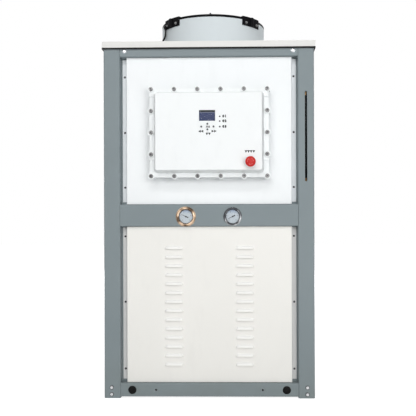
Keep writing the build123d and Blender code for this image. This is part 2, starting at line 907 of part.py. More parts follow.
def display_screen():
    """The display module, clamped behind the window."""
    module = Pos(0, 0, -box_wall - screen_thickness / 2) * Box(
        display_width + 2 * screen_lip, display_height + 2 * screen_lip, screen_thickness)
    raised_high = box_wall - display_recess - display_glass_thickness
    raised = Pos(0, 0, -box_wall + raised_high / 2) * Box(display_width, display_height, raised_high)
    return on_lid(module + raised, display_across, display_up)


def key_places():
    """The four menu keys in a cross."""
    return {
        "up": (key_across, key_up + key_pitch_up),
        "down": (key_across, key_up - key_pitch_up),
        "left": (key_across - key_pitch_across, key_up),
        "right": (key_across + key_pitch_across, key_up),
    }


def menu_key(name):
    """A stepped push rod: head outside the lid, stem in its bore, collar behind the wall."""
    stem_low = -box_wall - 2 * pin_clearance - key_collar_height
    stem = band(0, key_stem_radius, stem_low, key_gap)
    head = band(0, key_head_radius, key_gap, key_gap + key_head_height)
    head = fillet(head.vertices().group_by(Axis.X)[-1], key_rounding)
    collar = band(0, key_head_radius, stem_low, stem_low + key_collar_height)
    return on_lid(round_about_z(stem + head + collar), *key_places()[name])


def indicator_lamps():
    """Three domed lamp lenses seated in the lid."""
    lens = round_about_z(band(0, lamp_radius, -lamp_seat, 0) + dome(lamp_radius, 0, lamp_proud))
    return Compound([on_lid(lens, lamp_across, up) for up in lamp_ups])


def stop_collar():
    """The fixed collar of the stop button."""
    profile = band(stop_stem_radius + pin_clearance, stop_collar_radius, 0, stop_collar_height)
    profile = fillet(profile.vertices().group_by(Axis.Y)[-1].sort_by(Axis.X)[-1], stop_collar_rounding)
    return on_lid(round_about_z(profile), stop_across, stop_up)


def stop_plunger():
    """The stem in the collar, with the spigot that the head turns on."""
    stem = band(0, stop_stem_radius, -box_wall - stop_stem_tail, stop_head_low)
    spigot = band(0, stop_spigot_radius, stop_head_low, stop_head_low + stop_spigot_length)
    return on_lid(round_about_z(stem + spigot), stop_across, stop_up)


def stop_head():
    """The mushroom head, bored from behind for the spigot."""
    shoulder = stop_head_low + stop_head_edge
    head = band(0, stop_head_radius, stop_head_low, shoulder)
    head += dome(stop_head_radius, shoulder, stop_head_height - stop_head_edge)
    bore_depth = stop_spigot_length + stop_spigot_gap
    bore = band(0, stop_spigot_radius + pin_clearance, stop_head_low, stop_head_low + bore_depth)
    return on_lid(round_about_z(head - bore), stop_across, stop_up)


# Gauges

def gauge_case(flange_radius):
    """A flush-mounted gauge case: cup, front flange and rounded bezel, with its connection stub."""
    bore = gauge_case_radius - gauge_wall
    cup = band(bore, gauge_case_radius, -gauge_case_depth, gauge_flange_thickness)
    floor = band(0, gauge_case_radius, -gauge_case_depth, -gauge_case_depth + gauge_wall)
    flange = band(bore, flange_radius, 0, gauge_flange_thickness)
    bezel_outer = flange_radius - gauge_bezel_inset
    crest = gauge_bezel_height - gauge_bezel_fall
    crown = ((bezel_outer + bore) / 2 + 1, gauge_bezel_height)
    bezel = make_face(
        Line((bore, 0), (bezel_outer, 0))
        + Line((bezel_outer, 0), (bezel_outer, gauge_flange_thickness))
        + ThreePointArc((bezel_outer, gauge_flange_thickness), crown, (bore, crest))
        + Line((bore, crest), (bore, 0)))
    stub = band(0, gauge_stub_radius, -gauge_case_depth - gauge_stub_length, -gauge_case_depth)
    return round_about_z(cup + floor + flange) + round_about_z(bezel) + round_about_z(stub)


def on_mid_rail(shape, across):
    return facing(shape, across, gauge_up, rail_setback)


def gauge_left_case():
    return on_mid_rail(gauge_case(gauge_flange_left), gauge_across[0])


def gauge_right_case():
    return on_mid_rail(gauge_case(gauge_flange_right), gauge_across[1])


def gauge_dials():
    """The dial discs, each seated across its case."""
    bore = gauge_case_radius - gauge_wall
    disc = Pos(0, 0, -gauge_dial_sink - gauge_dial_thickness / 2) * Cylinder(bore, gauge_dial_thickness)
    return Compound([on_mid_rail(disc, across) for across in gauge_across])


def gauge_pointers():
    """A tapered pointer on its hub over each dial."""
    base = -gauge_dial_sink
    low = base + pointer_gap
    shape = make_face(Polyline(
        (-pointer_tail, -pointer_width), (-pointer_tail, pointer_width), (0, pointer_width / 2),
        (pointer_length, pointer_tip), (pointer_length, -pointer_tip), (0, -pointer_width / 2), close=True))
    hand = Pos(0, 0, low) * extrude(shape, pointer_thickness)
    hub = Pos(0, 0, (base + low + 2 * pointer_thickness) / 2) * Cylinder(
        pointer_hub, low + 2 * pointer_thickness - base)
    hands = []
    for across, angle in zip(gauge_across, (pointer_left_angle, pointer_right_angle)):
        hands.append(on_mid_rail(Rot(0, 0, angle) * (hand + hub), across))
    return Compound(hands)


def gauge_glasses():
    """The flat windows inside the bezels."""
    bore = gauge_case_radius - gauge_wall
    high = gauge_bezel_height - gauge_bezel_fall - gauge_lip
    glass = Pos(0, 0, high - gauge_glass_thickness / 2) * Cylinder(bore, gauge_glass_thickness)
    return Compound([on_mid_rail(glass, across) for across in gauge_across])


# Level sight tube

def fitting_leg():
    """The round bar that a level fitting needs cleared along +z through the post wall."""
    return Cylinder(fitting_pipe_radius, 4 * post_wall)


def fitting_place(shape, end):
    """Puts a piece on the level of the upper (1) or lower (-1) fitting, at the post's inner wall."""
    up = slot_middle + end * (sight_tube_length / 2 + fitting_socket_length / 2)
    return on_side(Pos(bay("front") / 2 + post_wall / 2, fitting_turn_depth, up) * shape, "front")


def level_sight_tube():
    """The clear tube between the two fittings."""
    tube = Cylinder(sight_tube_radius, sight_tube_length) - Cylinder(
        sight_tube_radius - sight_tube_wall, sight_tube_length)
    return on_side(Pos(half_width - post_size / 2, sight_depth, slot_middle) * tube, "front")


def level_fittings():
    """Two brass fittings: a socket over each tube end and a bent pipe through the post wall."""
    across = half_width - post_size / 2
    wall_face = bay("front") / 2
    fittings = []
    for end in (-1, 1):
        up = slot_middle + end * (sight_tube_length / 2 + fitting_socket_length / 2)
        socket = Pos(across, sight_depth, up) * Cylinder(fitting_socket_radius, fitting_socket_length)
        socket = chamfer(socket.edges().filter_by(GeomType.CIRCLE), fitting_chamfer)
        points = [(across, sight_depth, up), (across, fitting_turn_depth, up),
                  (wall_face - fitting_reach, fitting_turn_depth, up)]
        path = FilletPolyline(*points, radius=fitting_bend)
        pipe = sweep(Plane(origin=points[0], z_dir=(0, 1, 0)) * Circle(fitting_pipe_radius), path=path)
        nut = Rot(0, -90, 0) * hexagon(2 * fitting_nut_radius, 0, fitting_nut_height)
        fitting = socket + pipe + Pos(wall_face, fitting_turn_depth, up) * nut
        fittings.append(on_side(fitting, "front"))
    return Compound(fittings)


# Connections

def water_port():
    """A bulkhead nipple: z 0 on the panel's outer face, hex outside and locknut inside.
    It stands out behind as far as the stop button stands out in front."""
    reach = front_reach + panel_front
    nipple = band(port_bore_radius, port_radius, -port_tail, reach)
    nut_back = -panel_sheet - port_nut_height
    bored = Cylinder(port_bore_radius, 8 * port_hex_height)
    hexes = hexagon(port_hex_flats, 0, port_hex_height) + hexagon(port_hex_flats, nut_back, -panel_sheet)
    return round_about_z(nipple) + (hexes - bored)


def water_inlet():
    return facing(water_port(), -port_across / 2, port_up, panel_front, "back")


def water_outlet():
    return facing(water_port(), port_across / 2, port_up, panel_front, "back")


def power_cable_gland():
    """An empty gland for the supply cable."""
    tail = panel_sheet + 2 * cable_gland_hex_height
    barrel = band(cable_gland_bore, cable_gland_radius, -tail, cable_gland_reach)
    barrel = fillet(barrel.vertices().group_by(Axis.Y)[-1].sort_by(Axis.X)[-1], cable_gland_rounding)
    nut_back = -panel_sheet - cable_gland_hex_height
    bored = Cylinder(cable_gland_bore, 8 * cable_gland_hex_height)
    hexes = hexagon(cable_gland_hex_flats, 0, cable_gland_hex_height)
    hexes += hexagon(cable_gland_hex_flats, nut_back, -panel_sheet)
    gland = round_about_z(barrel) + (hexes - bored)
    return facing(gland, cable_gland_across, cable_gland_up, panel_front, "back")


nodes = {
    "post_front_left": post_front_left,
    "post_front_right": post_front_right,
    "post_back_left": post_back_left,
    "post_back_right": post_back_right,
    "base_rails": base_rails,
    "base_plugs": base_plugs,
    "mid_rail_front": mid_rail_front,
    "mid_rail_back": mid_rail_back,
    "mid_rails_side": mid_rails_side,
    "top_rails": top_rails,
    "base_tray": base_tray,
    "deck": deck,
    "front_upper_panel": front_upper_panel,
    "front_lower_panel": front_lower_panel,
    "back_upper_panel": back_upper_panel,
    "back_lower_panel": back_lower_panel,
    "left_lower_panel": left_lower_panel,
    "right_lower_panel": right_lower_panel,
    "condenser_casings": condenser_casings,
    "condenser_cores": condenser_cores,
    "roof_panel": roof_panel,
    "roof_edge_trim": roof_edge_trim,
    "fan_shroud": fan_shroud,
    "fan_guard": fan_guard,
    "motor_arms": motor_arms,
    "rim_brackets": rim_brackets,
    "fan_motor": fan_motor,
    "fan_impeller": fan_impeller,
    "fan_lead": fan_lead,
    "lead_gland": lead_gland,
    "control_box_body": control_box_body,
    "control_box_lid": control_box_lid,
    "control_box_supports": control_box_supports,
    "display_glass": display_glass,
    "display_screen": display_screen,
    "key_up": lambda: menu_key("up"),
    "key_down": lambda: menu_key("down"),
    "key_left": lambda: menu_key("left"),
    "key_right": lambda: menu_key("right"),
    "indicator_lamps": indicator_lamps,
    "stop_collar": stop_collar,
    "stop_plunger": stop_plunger,
    "stop_head": stop_head,
    "gauge_left_case": gauge_left_case,
    "gauge_right_case": gauge_right_case,
    "gauge_dials": gauge_dials,
    "gauge_pointers": gauge_pointers,
    "gauge_glasses": gauge_glasses,
    "level_sight_tube": level_sight_tube,
    "level_fittings": level_fittings,
    "water_inlet": water_inlet,
    "water_outlet": water_outlet,
    "power_cable_gland": power_cable_gland,
}

os.makedirs("parts", exist_ok=True)
for name, make in nodes.items():
    export_step(make(), f"parts/{name}.step")
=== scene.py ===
from math import cos, pi, radians, sin, sqrt

import bmesh
import bpy
from mathutils import Matrix, Vector


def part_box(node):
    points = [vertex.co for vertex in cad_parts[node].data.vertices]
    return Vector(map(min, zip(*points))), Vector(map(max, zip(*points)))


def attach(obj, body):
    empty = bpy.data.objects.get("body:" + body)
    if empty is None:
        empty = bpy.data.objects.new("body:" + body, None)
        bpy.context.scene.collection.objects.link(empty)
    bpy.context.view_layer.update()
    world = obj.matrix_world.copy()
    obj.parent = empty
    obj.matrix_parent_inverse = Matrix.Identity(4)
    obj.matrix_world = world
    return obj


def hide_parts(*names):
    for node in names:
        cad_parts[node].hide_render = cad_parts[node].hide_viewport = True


# The dressed recirculating chiller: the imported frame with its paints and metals,
# and the small pieces that the frame leaves out, such as screws, fins, dial marks
# and signs. Metres, x to the right, y towards the back, z up.

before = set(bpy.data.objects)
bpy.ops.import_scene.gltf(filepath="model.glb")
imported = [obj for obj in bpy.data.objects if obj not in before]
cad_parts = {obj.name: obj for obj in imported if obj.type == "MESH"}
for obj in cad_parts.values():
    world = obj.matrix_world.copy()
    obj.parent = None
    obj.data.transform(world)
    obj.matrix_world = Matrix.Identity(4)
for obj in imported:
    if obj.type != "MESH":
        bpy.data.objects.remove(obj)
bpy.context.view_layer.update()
bpy.context.scene.view_settings.view_transform = "Standard"

# Outer faces of the cabinet, how far in its rails and panel strips lie, and how far
# from the middle the strips of the front and back panels start
FRONT = -0.400
BACK = 0.400
SIDE = 0.450
RAIL_INWARD = 0.0015
STRIP_INWARD = 0.0405
STRIP_START = 0.3535

# Middles of the lid, the stop button and the gauges, across and up
LID_ACROSS, LID_UP = 0.0045, 1.129
STOP_ACROSS, STOP_UP = 0.178, 1.001
GAUGE_LEFT, GAUGE_RIGHT, GAUGE_UP = -0.0985, 0.1015, 0.7755

# Signs and marks start a hair in front of their face, so that the two never mix
PROUD = 0.00002


# Camera at the photograph's place

camera_data = bpy.data.cameras.new("camera")
camera_data.sensor_width = 36
camera_data.lens = 57.46
camera_data.shift_x = -0.0692
camera_data.shift_y = 0.0178
camera_data.clip_end = 60
camera = bpy.data.objects.new("camera", camera_data)
bpy.context.scene.collection.objects.link(camera)
camera.location = (0.1735, -3.230, 0.780)
camera.rotation_euler = (pi / 2, radians(0.18), radians(1.1))
bpy.context.scene.camera = camera


# Node helpers

def new_material(name):
    material = bpy.data.materials.new(name)
    material.use_nodes = True
    return material, material.node_tree, material.node_tree.nodes["Principled BSDF"]


def join(tree, start, end):
    tree.links.new(start, end)


def place(tree, scale=(1, 1, 1)):
    """Object coordinates in metres, stretched along the axes."""
    coordinates = tree.nodes.new("ShaderNodeTexCoord")
    mapping = tree.nodes.new("ShaderNodeMapping")
    mapping.inputs["Scale"].default_value = scale
    join(tree, coordinates.outputs["Object"], mapping.inputs["Vector"])
    return mapping.outputs["Vector"]


def noise(tree, scale, detail=2.0, stretch=(1, 1, 1), roughness=0.5):
    node = tree.nodes.new("ShaderNodeTexNoise")
    node.inputs["Scale"].default_value = scale
    node.inputs["Detail"].default_value = detail
    node.inputs["Roughness"].default_value = roughness
    join(tree, place(tree, stretch), node.inputs["Vector"])
    return node.outputs["Fac"]


def cells(tree, scale):
    node = tree.nodes.new("ShaderNodeTexVoronoi")
    node.inputs["Scale"].default_value = scale
    join(tree, place(tree), node.inputs["Vector"])
    return node


def reckoned(tree, operation, *values):
    """The result of a sum on one or two sockets."""
    node = tree.nodes.new("ShaderNodeMath")
    node.operation = operation
    for value, socket in zip(values, node.inputs):
        join(tree, value, socket)
    return node.outputs["Value"]


def ranged(tree, value, low, high, start=0.3, end=0.7):
    """A value carried from the range start to end onto low to high, with its ends held."""
    node = tree.nodes.new("ShaderNodeMapRange")
    node.inputs["From Min"].default_value = start
    node.inputs["From Max"].default_value = end
    node.inputs["To Min"].default_value = low
    node.inputs["To Max"].default_value = high
    join(tree, value, node.inputs["Value"])
    return node.outputs["Result"]


def blend(tree, factor, first, second):
    """A colour between two, each a colour or a socket."""
    node = tree.nodes.new("ShaderNodeMix")
    node.data_type = "RGBA"
    join(tree, factor, node.inputs["Factor"])
    for value, socket in ((first, node.inputs[6]), (second, node.inputs[7])):
        if isinstance(value, tuple):
            socket.default_value = (*value, 1)
        else:
            join(tree, value, socket)
    return node.outputs[2]


def darker(colour, share):
    return tuple(share * part for part in colour)


def relief(tree, shader, heights):
    """A chain of bumps, each a height socket and its depth in metres."""
    normal = None
    for height, depth in heights:
        node = tree.nodes.new("ShaderNodeBump")
        node.inputs["Distance"].default_value = depth
        join(tree, height, node.inputs["Height"])
        if normal:
            join(tree, normal, node.inputs["Normal"])
        normal = node.outputs["Normal"]
    join(tree, normal, shader.inputs["Normal"])


def edge_highlight_mask(tree, radius):
    """How sharply the surface turns near a point, from 0 on a flat to 1 on an edge."""
    bevel = tree.nodes.new("ShaderNodeBevel")
    bevel.samples = 4
    bevel.inputs["Radius"].default_value = radius
    geometry = tree.nodes.new("ShaderNodeNewGeometry")
    product = tree.nodes.new("ShaderNodeVectorMath")
    product.operation = "DOT_PRODUCT"
    join(tree, bevel.outputs["Normal"], product.inputs[0])
    join(tree, geometry.outputs["Normal"], product.inputs[1])
    return ranged(tree, product.outputs["Value"], 1, 0, 0.86, 0.985)


def along(tree, axis, kind="ShaderNodeTexCoord", output="Object"):
    """One axis of a point's place or, from the geometry node, of its normal."""
    source = tree.nodes.new(kind)
    parts = tree.nodes.new("ShaderNodeSeparateXYZ")
    join(tree, source.outputs[output], parts.inputs["Vector"])
    return parts.outputs[axis]


def height_above(tree, low, high):
    """0 at one height of the machine and 1 at another."""
    return ranged(tree, along(tree, "Z"), 0, 1, low, high)


def looking_up(tree):
    """1 on faces that look well upward, 0 on upright ones."""
    return ranged(tree, along(tree, "Z", "ShaderNodeNewGeometry", "Normal"), 0, 1, 0.10, 0.40)


def beyond(tree, across):
    """1 further out to either side of the machine than a distance, 0 nearer its middle."""
    soft = 0.0005
    out = reckoned(tree, "ABSOLUTE", along(tree, "X"))
    return ranged(tree, out, 0, 1, across - soft, across + soft)


def paint(name, colour, shade, rough, peel, grain=700, gloss=0.4,
          edge=None, dust=None, strips=None, crest=None):
    """Sprayed or powder coated sheet: slow drifts of tone, faint rub marks, orange peel
    and soft gloss. The last four are colours: of a painted highlight along edges, of dust
    near the floor, of painted shade on a panel's recessed side strips and of a painted
    highlight on faces that look upward."""
    material, tree, shader = new_material(name)
    drift = noise(tree, 2.6, 3)
    rubs = noise(tree, 22, 4, (1, 1, 0.35), 0.6)
    tone = blend(tree, ranged(tree, drift, 0, 1), colour, shade)
    tone = blend(tree, ranged(tree, rubs, 0, 0.45, 0.56, 0.78), tone, darker(colour, 0.93))
    if dust:
        low = ranged(tree, noise(tree, 9, 4), 0.2, 0.8)
        fade = reckoned(tree, "MULTIPLY", low, height_above(tree, 0.22, 0.0))
        tone = blend(tree, fade, tone, dust)
    # Edges take a lighter colour: a painted highlight along them.
    if edge:
        tone = blend(tree, edge_highlight_mask(tree, 0.0016), tone, edge)
    # Faces that look upward take a lighter colour: a painted highlight from light falling from
    # above.
    if crest:
        tone = blend(tree, looking_up(tree), tone, crest)
    # The side strips take a darker colour: painted shade of their recess between panel and post.
    if strips:
        tone = blend(tree, beyond(tree, STRIP_START), tone, strips)
    join(tree, tone, shader.inputs["Base Color"])
    spread = ranged(tree, noise(tree, 35, 3), rough - 0.05, rough + 0.07)
    join(tree, spread, shader.inputs["Roughness"])
    shader.inputs["Specular IOR Level"].default_value = gloss
    relief(tree, shader, ((noise(tree, 60, 2), peel * 2.5), (noise(tree, grain, 2), peel)))
    return material


def plain_metal(name, colour, shade, rough, stretch=(1, 1, 1), clouds=(60, 3, 0.35, 0.7)):
    """Turned or brushed metal: fine lines along one direction and clouds of lighter and darker
    tone; on the gauge bezels these clouds are painted reflections. The clouds have a scale, a
    detail, and the noise levels where they start and end."""
    material, tree, shader = new_material(name)
    scale, detail, start, end = clouds
    cloud = ranged(tree, noise(tree, scale, detail), 0, 1, start, end)
    join(tree, blend(tree, cloud, colour, shade), shader.inputs["Base Color"])
    shader.inputs["Metallic"].default_value = 1
    lines = noise(tree, 900, 2, stretch)
    join(tree, ranged(tree, lines, rough - 0.06, rough + 0.1), shader.inputs["Roughness"])
    relief(tree, shader, ((lines, 0.00004),))
    return material


def moulded(name, colour, shade, rough, grain=1100, depth=0.00008, gloss=0.5):
    """Moulded plastic or rubber: a fine spark texture, slightly uneven colour and gloss."""
    material, tree, shader = new_material(name)
    cloud = ranged(tree, noise(tree, 90, 3), 0, 1)
    join(tree, blend(tree, cloud, colour, shade), shader.inputs["Base Color"])
    spread = ranged(tree, noise(tree, 180, 2), rough - 0.06, rough + 0.08)
    join(tree, spread, shader.inputs["Roughness"])
    shader.inputs["Specular IOR Level"].default_value = gloss
    relief(tree, shader, ((noise(tree, grain, 2), depth),))
    return material


def clear(name, tint, rough, alpha):
    """Clear glass or tube: thin tint, clean gloss and faint smears."""
    material, tree, shader = new_material(name)
    smear = noise(tree, 30, 3, (1, 1, 0.4))
    tone = blend(tree, ranged(tree, smear, 0, 1), tint, darker(tint, 0.94))
    join(tree, tone, shader.inputs["Base Color"])
    join(tree, ranged(tree, smear, rough, rough + 0.06), shader.inputs["Roughness"])
    shader.inputs["Alpha"].default_value = alpha
    shader.inputs["Specular IOR Level"].default_value = 0.25
    return material


def galvanised(name):
    """Zinc coated sheet with its spangle."""
    material, tree, shader = new_material(name)
    spangle = cells(tree, 70)
    grey = ranged(tree, spangle.outputs["Color"], 0, 1, 0.1, 0.9)
    tone = blend(tree, grey, (0.56, 0.58, 0.60), (0.70, 0.72, 0.73))
    join(tree, tone, shader.inputs["Base Color"])
    spread = ranged(tree, spangle.outputs["Color"], 0.34, 0.52, 0.1, 0.9)
    join(tree, spread, shader.inputs["Roughness"])
    shader.inputs["Metallic"].default_value = 0.85
    relief(tree, shader, ((spangle.outputs["Distance"], 0.00006), (noise(tree, 500, 2), 0.00003)))
    return material


def display(name):
    """An unlit liquid crystal screen: a dark upper band, partly the screen's black bezel and
    partly painted shadow under the window's upper edge, a thin light line and a blue field.
    """
    material, tree, shader = new_material(name)
    cloud = ranged(tree, noise(tree, 70, 2, (1, 1, 2.5)), 0, 1)
    field = blend(tree, cloud, (0.027, 0.040, 0.116), (0.037, 0.052, 0.138))
    dots = tree.nodes.new("ShaderNodeTexWave")
    dots.bands_direction = "Z"
    dots.inputs["Scale"].default_value = 160
    join(tree, place(tree), dots.inputs["Vector"])
    share = ranged(tree, dots.outputs["Fac"], 0, 0.18, 0.5, 1)
    field = blend(tree, share, field, (0.05, 0.06, 0.15))
    line = height_above(tree, 1.2068, 1.2073)
    field = blend(tree, line, field, (0.24, 0.27, 0.36))
    # The near-black upper band: the black bezel, with painted shadow from the window's edge above.
    band = height_above(tree, 1.2085, 1.2089)
    join(tree, blend(tree, band, field, (0.004, 0.004, 0.007)), shader.inputs["Base Color"])
    shader.inputs["Roughness"].default_value = 0.32
    shader.inputs["Specular IOR Level"].default_value = 0.2
    relief(tree, shader, ((noise(tree, 400, 2), 0.00003),))
    return material


def dial(name, face, rim, height, rise):
    """A printed dial: pale at the middle and tinted at the top, with a faint paper grain."""
    material, tree, shader = new_material(name)
    cloud = ranged(tree, noise(tree, 120, 3), 0, 0.5)
    tone = blend(tree, cloud, face, darker(face, 0.93))
    tone = blend(tree, height_above(tree, height, height + rise), tone, rim)
    join(tree, tone, shader.inputs["Base Color"])
    join(tree, ranged(tree, noise(tree, 300, 2), 0.4, 0.55), shader.inputs["Roughness"])
    relief(tree, shader, ((noise(tree, 900, 2), 0.00002),))
    return material


# Finishes: one for each material slot of the record, then those of the scene alone

finishes = {}


def keep(maker, name, *values, **options):
    """Makes a material and keeps it under its name."""
    finishes[name] = maker(name, *values, **options)


# The frame's and the roof's edge colours are painted highlights along their edges.
keep(paint, "frame_paint", (0.230, 0.273, 0.288), (0.214, 0.255, 0.270), 0.44, 0.00005,
     edge=(0.34, 0.38, 0.39), dust=(0.205, 0.238, 0.238), gloss=0.25)
# The strip colour of the panel paints is painted shade on the recessed side strips.
keep(paint, "panel_paint", (0.895, 0.920, 0.930), (0.880, 0.905, 0.915), 0.38, 0.00004,
     strips=(0.80, 0.83, 0.85))
keep(paint, "roof_paint", (0.76, 0.76, 0.735), (0.74, 0.74, 0.715), 0.40, 0.00005,
     edge=(0.90, 0.90, 0.89))
keep(paint, "shroud_paint", (0.70, 0.755, 0.78), (0.67, 0.725, 0.75), 0.60, 0.00004, gloss=0.06)
keep(paint, "fan_black", (0.003, 0.003, 0.004), (0.006, 0.006, 0.007), 0.55, 0.00006,
     grain=1300, gloss=0.05)
keep(moulded, "blade_black", (0.016, 0.016, 0.018), (0.024, 0.024, 0.026), 0.50, gloss=0.2)
keep(moulded, "edge_black", (0.010, 0.010, 0.010), (0.018, 0.017, 0.017), 0.62, gloss=0.1)
keep(moulded, "plug_black", (0.006, 0.006, 0.006), (0.010, 0.010, 0.010), 0.36, gloss=0.06)
keep(moulded, "cable_black", (0.010, 0.010, 0.011), (0.018, 0.018, 0.019), 0.48, 600, gloss=0.15)
keep(galvanised, "galvanised")
keep(plain_metal, "coil_fins", (0.74, 0.75, 0.76), (0.62, 0.63, 0.65), 0.34, (1, 1, 8))
keep(paint, "box_paint", (0.895, 0.920, 0.925), (0.880, 0.905, 0.908), 0.42, 0.00009, grain=900)
keep(display, "screen_blue")
keep(clear, "window_glass", (0.30, 0.33, 0.38), 0.04, 0.05)
keep(moulded, "key_dark", (0.055, 0.055, 0.060), (0.035, 0.035, 0.040), 0.40, gloss=0.3)
keep(moulded, "lamp_lens", (0.085, 0.085, 0.095), (0.055, 0.055, 0.065), 0.30, gloss=0.4)
keep(moulded, "stop_red", (0.60, 0.028, 0.026), (0.55, 0.020, 0.019), 0.36, 700, 0.00006,
     gloss=0.22)
keep(plain_metal, "stop_metal", (0.60, 0.61, 0.62), (0.48, 0.49, 0.50), 0.28)
# The gauge bezels swing from light to nearly black in clouds: painted reflections and shade on the
# metal.
keep(plain_metal, "gauge_brass", (0.54, 0.40, 0.285), (0.09, 0.060, 0.040), 0.24,
     clouds=(34, 0, 0.38, 0.66))
keep(plain_metal, "gauge_steel", (0.50, 0.51, 0.52), (0.055, 0.058, 0.064), 0.24,
     clouds=(34, 0, 0.38, 0.62))
keep(dial, "dial_white", (0.62, 0.69, 0.74), (0.36, 0.48, 0.66), 0.786, 0.020)
keep(moulded, "pointer_black", (0.008, 0.008, 0.009), (0.014, 0.014, 0.014), 0.5, gloss=0.1)
# The sight tube is nearly black and mostly opaque: painted shade of the dark inside of the post
# behind the slot.
keep(clear, "sight_clear", (0.012, 0.015, 0.015), 0.10, 0.70)
keep(plain_metal, "brass", (0.27, 0.17, 0.08), (0.10, 0.06, 0.03), 0.34)
keep(moulded, "gland_black", (0.020, 0.020, 0.022), (0.032, 0.032, 0.034), 0.48)
keep(plain_metal, "port_steel", (0.60, 0.61, 0.62), (0.48, 0.49, 0.51), 0.30)

keep(plain_metal, "bolt_bright", (0.74, 0.75, 0.77), (0.56, 0.57, 0.59), 0.24)
keep(plain_metal, "bolt_dark", (0.085, 0.085, 0.09), (0.045, 0.045, 0.05), 0.42)
keep(plain_metal, "bolt_dull", (0.30, 0.30, 0.30), (0.15, 0.15, 0.15), 0.34)
keep(plain_metal, "bolt_grey", (0.25, 0.25, 0.25), (0.11, 0.11, 0.11), 0.36)
keep(plain_metal, "copper", (0.56, 0.30, 0.19), (0.40, 0.20, 0.12), 0.38)
keep(moulded, "print_black", (0.010, 0.010, 0.011), (0.018, 0.018, 0.019), 0.6, gloss=0.1)
keep(moulded, "arrow_pink", (0.72, 0.16, 0.15), (0.66, 0.12, 0.11), 0.42)
# The front and back lower panels' strip colour is painted shade in the recess beside the posts.
for name, strips in (("lower_panel_paint", None), ("lower_striped_paint", (0.70, 0.70, 0.69))):
    # The lighter colour on upward faces, such as the louvres' tops, is a painted highlight.
    keep(paint, name, (0.895, 0.885, 0.845), (0.875, 0.865, 0.825), 0.40, 0.00004,
         dust=(0.84, 0.83, 0.79), crest=(0.955, 0.950, 0.930), strips=strips)

# The record's slots for the scene's own finishes, and the panels with a coat of their own
COATS = {"front_lower_panel": "lower_striped_paint", "back_lower_panel": "lower_striped_paint",
         "left_lower_panel": "lower_panel_paint", "right_lower_panel": "lower_panel_paint"}

for name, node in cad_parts.items():
    for slot in node.material_slots:
        slot.material = finishes[COATS.get(name, slot.material.name.split(".")[0])]


# Mesh helpers

def ring_radius(kind, radius, angle):
    """The radius of a round, six-sided or cross-shaped ring at an angle in degrees."""
    if kind == "hex":
        return radius * cos(radians(30)) / cos(radians(angle % 60 - 30))
    if kind == "cross":
        return radius if min(angle % 90, 90 - angle % 90) < 14 else 0.34 * radius
    return radius


def turned(mesh, profile, matrix, points=24):
    """Adds a solid of rings, each a (radius, height, kind), along z and closed at both ends."""
    rings = []
    for radius, height, kind in profile:
        ring = []
        for count in range(points):
            angle = 360 * count / points
            reach = ring_radius(kind, radius, angle)
            point = Vector((reach * cos(radians(angle)), reach * sin(radians(angle)), height))
            ring.append(mesh.verts.new(matrix @ point))
        rings.append(ring)
    for low, high in zip(rings, rings[1:]):
        for count in range(points):
            after = (count + 1) % points
            mesh.faces.new((low[count], low[after], high[after], high[count]))
    mesh.faces.new(rings[-1])
    mesh.faces.new(list(reversed(rings[0])))


def hollow(mesh, section, matrix, points):
    """Adds a closed ring: a section of (radius, height) points turned about z."""
    rings = []
    for radius, height in section:
        ring = []
        for count in range(points):
            angle = 2 * pi * count / points
            point = Vector((radius * cos(angle), radius * sin(angle), height))
            ring.append(mesh.verts.new(matrix @ point))
        rings.append(ring)
    for low, high in zip(rings, rings[1:] + rings[:1]):
        for count in range(points):
            after = (count + 1) % points
            mesh.faces.new((low[count], low[after], high[after], high[count]))


def slab(mesh, outline, low, high, matrix):
    """Adds a flat plate: an outline of (x, y) points, between two heights along z."""
    bottom = [mesh.verts.new(matrix @ Vector((x, y, low))) for x, y in outline]
    top = [mesh.verts.new(matrix @ Vector((x, y, high))) for x, y in outline]
    mesh.faces.new(list(reversed(bottom)))
    mesh.faces.new(top)
    for count in range(len(outline)):
        after = (count + 1) % len(outline)
        mesh.faces.new((bottom[count], bottom[after], top[after], top[count]))


def outward(where, direction, turn=0.0):
    """Stands a piece drawn along z on a surface, turned about its own axis by some degrees."""
    stand = Vector(direction).to_track_quat("Z", "Y").to_matrix().to_4x4()
    return Matrix.Translation(where) @ stand @ Matrix.Rotation(radians(turn), 4, "Z")


def facing_front(x, y, z):
    """Stands a piece drawn flat in x and y upright, so that it looks to the front."""
    return Matrix.Translation((x, y, z)) @ Matrix.Rotation(pi / 2, 4, "X")


def piece(name, mesh, finish, body="cabinet", smooth=35):
    """Makes a piece of the scene from a mesh that is in place, with its finish, slot and body."""
    bmesh.ops.recalc_face_normals(mesh, faces=mesh.faces)
    data = bpy.data.meshes.new(name)
    mesh.to_mesh(data)
    mesh.free()
    for face in data.polygons:
        face.use_smooth = True
    data.set_sharp_from_angle(angle=radians(smooth))
    data.materials.append(finishes[finish])
    made = bpy.data.objects.new(name, data)
    bpy.context.scene.collection.objects.link(made)
    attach(made, body)
    return made


def fasteners(name, finish, profile, places, step=37):
    """One piece of many equal fasteners, each turned a little further than the last."""
    mesh = bmesh.new()
    for count, (where, direction) in enumerate(places):
        turned(mesh, profile, outward(where, direction, count * step))
    return piece(name, mesh, finish)


# Screws and bolts

